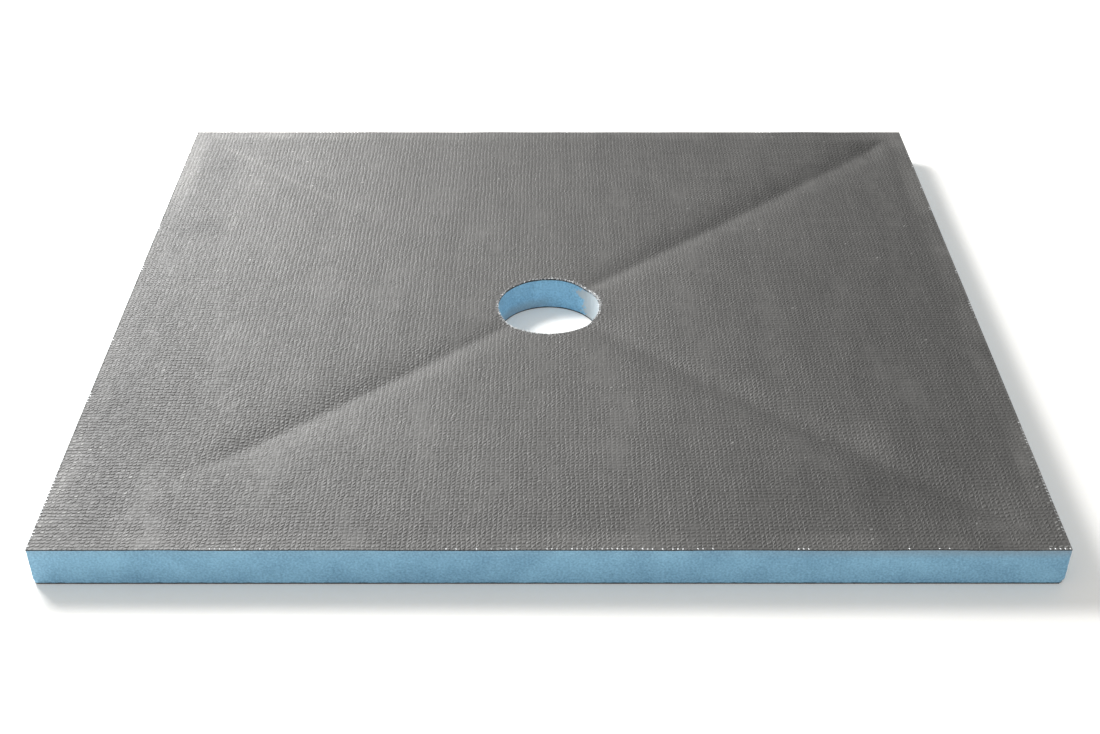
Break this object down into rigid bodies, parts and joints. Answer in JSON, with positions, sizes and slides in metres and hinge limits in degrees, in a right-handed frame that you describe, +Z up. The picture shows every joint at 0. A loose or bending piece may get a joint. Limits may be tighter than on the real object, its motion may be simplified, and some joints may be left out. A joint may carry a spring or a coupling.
{
  "type": "shower underlay board",
  "caption": "Flat foam board with mesh-reinforced mortar faces, a level border, shallow falls meeting in valleys, and a round drain hole through the middle.",
  "frame": {"origin": "on the floor under the middle of the board", "axes": "+X along the board's width, +Y along its depth away from the front edge, +Z up out of the tiled face"},
  "size_m": [0.9, 0.8, 0.04],
  "materials": {
    "foam": "cut extruded polystyrene foam, pale blue, fine closed cells",
    "coating": "grey polymer mortar over glass-fibre mesh, matt with a faint sheen",
    "underside": "grey polymer mortar over glass-fibre mesh, matt"
  },
  "bodies": {
    "root": {"foam_core": "foam", "top_coating": "coating", "bottom_coating": "underside"}
  },
  "joints": []
}
